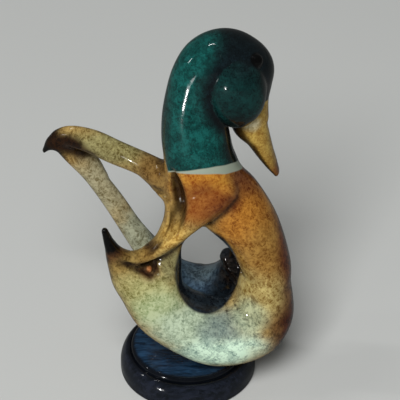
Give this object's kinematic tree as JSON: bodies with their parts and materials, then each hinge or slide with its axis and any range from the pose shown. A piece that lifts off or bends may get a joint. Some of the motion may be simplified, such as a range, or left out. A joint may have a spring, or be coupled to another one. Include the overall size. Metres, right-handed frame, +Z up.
{
  "type": "duck figurine",
  "caption": "Glazed duck figurine: a curled openwork body with crossed tail tips, a tucked bill and bead eyes, resting on a round plinth.",
  "frame": {"origin": "centre of the plinth's flat underside", "axes": "+Z up through the crown of the head, +X from the tail tips towards the breast, +Y away from the seen side"},
  "size_m": [0.1392, 0.077, 0.2204],
  "materials": {
    "duck_glaze": "glossy mottled glaze: teal neck, orange breast, cream belly",
    "base_glaze": "glossy blue-black glaze"
  },
  "bodies": {
    "root": {"duck": "duck_glaze", "round_base": "base_glaze"}
  },
  "joints": []
}
